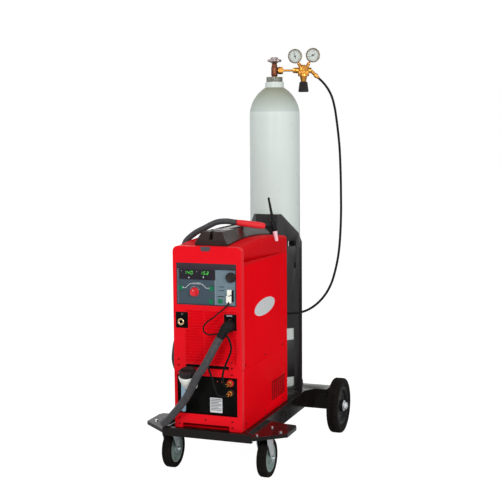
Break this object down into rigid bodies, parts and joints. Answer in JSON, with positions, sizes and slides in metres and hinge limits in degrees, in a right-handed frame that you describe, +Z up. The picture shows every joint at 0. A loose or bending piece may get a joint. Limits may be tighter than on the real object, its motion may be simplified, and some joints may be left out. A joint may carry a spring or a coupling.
{
  "type": "water-cooled welder on cylinder cart",
  "caption": "Red inverter welding power source on a water cooler, standing on a black cart with casters, a tall gas cylinder with regulator, and a torch with hoses.",
  "frame": {"origin": "on the floor, under the middle of the cart with its cords left out", "axes": "+Z up, the control panel faces -Y, +X to the right of someone facing the panel"},
  "size_m": [0.684, 1.0564, 1.7572],
  "materials": {
    "frame_paint": "gloss",
    "upright_paint": "satin",
    "strap_black": "satin",
    "zinc": "satin",
    "rim_grey": "satin",
    "rim_dark": "matte",
    "tyre_rubber": "matte",
    "case_red": "satin",
    "bezel_red": "satin",
    "panel_black": "matte",
    "tank_white": "satin",
    "cap_black": "matte",
    "brass": "satin",
    "inner_metal": "matte",
    "fan_black": "matte",
    "panel_slate": "satin",
    "knob_red": "satin",
    "button_green": "satin",
    "cylinder_grey": "satin",
    "valve_bronze": "satin",
    "handwheel_grey": "satin",
    "needle_black": "matte",
    "hose_rubber": "matte",
    "sleeve_fabric": "matte"
  },
  "bodies": {
    "cart": {"chassis_frame": "frame_paint", "front_plate": "frame_paint", "rear_axle": "zinc", "cylinder_upright": "upright_paint", "cylinder_strap": "strap_black", "fasteners": "zinc", "caster_plates": "zinc", "cooler_case": "case_red", "cooler_front": "bezel_red", "recess_panel": "panel_black", "coolant_tank": "tank_white", "coolant_couplings": "brass", "cooler_core": "inner_metal", "front_bezel": "bezel_red", "louvre_panel": "bezel_red", "side_cover_left": "case_red", "side_cover_right": "case_red", "top_cover": "case_red", "carry_handle": "panel_black", "rear_panel": "panel_black", "control_panel": "panel_slate", "output_sockets": "panel_black", "inverter_module": "inner_metal", "gas_cylinder": "cylinder_grey", "cylinder_valve": "valve_bronze", "regulator_body": "brass", "gauges": "brass", "torch_handle": "knob_red", "torch_head": "cap_black", "gas_hose": "hose_rubber", "torch_hose": "sleeve_fabric", "control_cable": "hose_rubber", "coolant_hose_flow": "hose_rubber", "coolant_hose_return": "hose_rubber", "control_plug": "cap_black", "torch_boot": "cap_black"},
    "caster_left": {"caster_fork_left": "zinc"},
    "caster_wheel_left": {"caster_rim_left": "rim_grey", "caster_tyre_left": "tyre_rubber"},
    "rear_wheel_left": {"rear_rim_left": "rim_dark", "rear_tyre_left": "tyre_rubber"},
    "caster_right": {"caster_fork_right": "zinc"},
    "caster_wheel_right": {"caster_rim_right": "rim_grey", "caster_tyre_right": "tyre_rubber"},
    "rear_wheel_right": {"rear_rim_right": "rim_dark", "rear_tyre_right": "tyre_rubber"},
    "knob": {"main_knob": "knob_red"},
    "key_left": {"button_left": "button_green"},
    "key_right": {"button_right": "button_green"},
    "key_lower": {"button_lower": "button_green"},
    "key_test": {"button_test": "button_green"},
    "remote_cap": {"remote_socket_cap": "cap_black"},
    "filler_cap": {"tank_cap": "cap_black"},
    "rocker": {"mains_switch": "cap_black"},
    "fan": {"cooling_fan": "fan_black"},
    "handwheel": {"valve_handwheel": "handwheel_grey"},
    "flow_knob": {"regulator_knob": "cap_black"},
    "pointer_cylinder": {"needle_cylinder": "needle_black"},
    "pointer_flow": {"needle_flow": "needle_black"},
    "trigger": {"torch_trigger": "cap_black"}
  },
  "joints": [
    {"name": "swivel_left", "type": "hinge", "parent": "cart", "child": "caster_left", "pos_m": [-0.206, -0.363, 0.17], "axis": [0, 0, 1], "continuous": true},
    {"name": "caster_spin_left", "type": "hinge", "parent": "caster_left", "child": "caster_wheel_left", "pos_m": [-0.206, -0.332, 0.08], "axis": [1, 0, 0], "continuous": true},
    {"name": "rear_spin_left", "type": "hinge", "parent": "cart", "child": "rear_wheel_left", "pos_m": [-0.3, 0.394, 0.126], "axis": [1, 0, 0], "continuous": true},
    {"name": "swivel_right", "type": "hinge", "parent": "cart", "child": "caster_right", "pos_m": [0.206, -0.363, 0.17], "axis": [0, 0, 1], "continuous": true},
    {"name": "caster_spin_right", "type": "hinge", "parent": "caster_right", "child": "caster_wheel_right", "pos_m": [0.206, -0.332, 0.08], "axis": [1, 0, 0], "continuous": true},
    {"name": "rear_spin_right", "type": "hinge", "parent": "cart", "child": "rear_wheel_right", "pos_m": [0.3, 0.394, 0.126], "axis": [1, 0, 0], "continuous": true},
    {"name": "knob_turn", "type": "hinge", "parent": "cart", "child": "knob", "pos_m": [-0.053, -0.442, 0.756], "axis": [0, -1, 0], "continuous": true},
    {"name": "press_left", "type": "slide", "parent": "cart", "child": "key_left", "axis": [0, 1, 0], "range_m": [0, 0.0015], "stiffness_N_per_m": 250},
    {"name": "press_right", "type": "slide", "parent": "cart", "child": "key_right", "axis": [0, 1, 0], "range_m": [0, 0.0015], "stiffness_N_per_m": 250},
    {"name": "press_lower", "type": "slide", "parent": "cart", "child": "key_lower", "axis": [0, 1, 0], "range_m": [0, 0.0015], "stiffness_N_per_m": 250},
    {"name": "press_test", "type": "slide", "parent": "cart", "child": "key_test", "axis": [0, 1, 0], "range_m": [0, 0.0015], "stiffness_N_per_m": 250},
    {"name": "remote_cap_turn", "type": "hinge", "parent": "cart", "child": "remote_cap", "pos_m": [0.103, -0.445, 0.82], "axis": [0, -1, 0], "range_deg": [0, 90]},
    {"name": "filler_cap_turn", "type": "hinge", "parent": "cart", "child": "filler_cap", "pos_m": [-0.066, -0.49, 0.432], "axis": [0, -0.309, 0.9511], "range_deg": [0, 360]},
    {"name": "rocker_tip", "type": "hinge", "parent": "cart", "child": "rocker", "pos_m": [-0.025, 0.102, 0.512], "axis": [1, 0, 0], "range_deg": [-8, 8]},
    {"name": "fan_spin", "type": "hinge", "parent": "cart", "child": "fan", "pos_m": [0, 0.065, 0.737], "axis": [0, 1, 0], "continuous": true},
    {"name": "handwheel_turn", "type": "hinge", "parent": "cart", "child": "handwheel", "pos_m": [0, 0.3815, 1.69], "axis": [0, 0, 1], "range_deg": [0, 720]},
    {"name": "flow_knob_turn", "type": "hinge", "parent": "cart", "child": "flow_knob", "pos_m": [0.12239, 0.43095, 1.58], "axis": [0, 0, 1], "range_deg": [0, 720]},
    {"name": "pointer_cylinder_turn", "type": "hinge", "parent": "cart", "child": "pointer_cylinder", "pos_m": [0.08323, 0.42376, 1.72092], "axis": [0.3746, -0.9272, 0], "range_deg": [-149, 121]},
    {"name": "pointer_flow_turn", "type": "hinge", "parent": "cart", "child": "pointer_flow", "pos_m": [0.15833, 0.4541, 1.72492], "axis": [0.3746, -0.9272, 0], "range_deg": [-247, 23]},
    {"name": "trigger_press", "type": "slide", "parent": "cart", "child": "trigger", "axis": [0.6691, -0.7432, 0], "range_m": [0, 0.002], "stiffness_N_per_m": 300}
  ]
}
